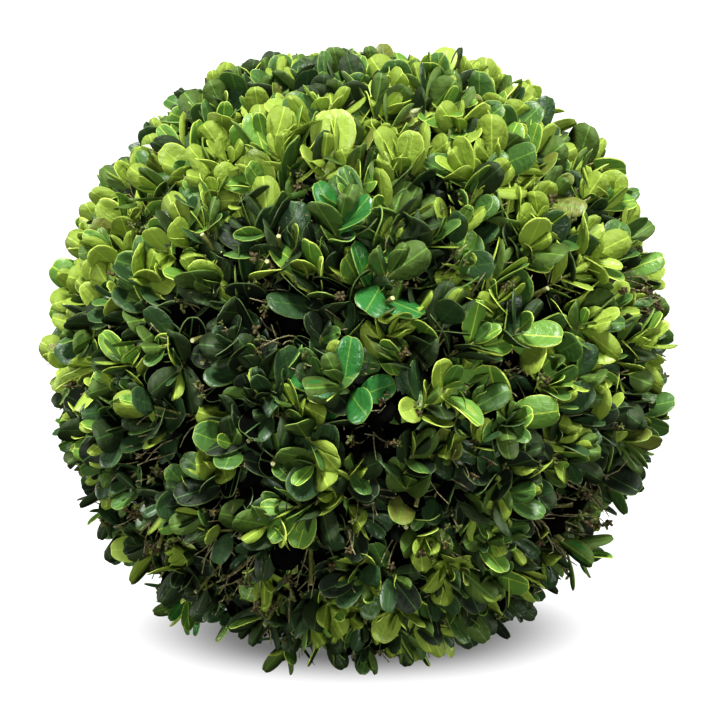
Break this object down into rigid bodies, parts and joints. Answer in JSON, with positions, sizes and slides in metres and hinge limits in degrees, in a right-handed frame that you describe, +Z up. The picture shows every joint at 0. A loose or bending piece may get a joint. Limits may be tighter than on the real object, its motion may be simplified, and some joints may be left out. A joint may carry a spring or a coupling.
{
  "type": "box topiary ball",
  "caption": "Dense clipped ball of small glossy evergreen box leaves, with a short woody stem and boughs hidden inside, set right down on the ground.",
  "frame": {"origin": "centre of the flat cut under the main stem, at ground level", "axes": "+Z straight up, away from the ground; the ball is round about Z, so X and Y are two level directions at right angles"},
  "size_m": [0.2494, 0.2511, 0.2487],
  "materials": {
    "bark": "matt, finely fissured grey-brown bark",
    "foliage": "glossy leathery leaves, dark green inside and yellow-green at the tips"
  },
  "bodies": {
    "root": {"main_stem": "bark", "bough_top": "bark", "bough_upper_1": "bark", "bough_upper_2": "bark", "bough_upper_3": "bark", "bough_upper_4": "bark", "bough_upper_5": "bark", "bough_lower_1": "bark", "bough_lower_2": "bark", "bough_lower_3": "bark", "bough_lower_4": "bark", "bough_lower_5": "bark", "foliage_top": "foliage", "foliage_upper_1": "foliage", "foliage_upper_2": "foliage", "foliage_upper_3": "foliage", "foliage_upper_4": "foliage", "foliage_upper_5": "foliage", "foliage_lower_1": "foliage", "foliage_lower_2": "foliage", "foliage_lower_3": "foliage", "foliage_lower_4": "foliage", "foliage_lower_5": "foliage"}
  },
  "joints": []
}
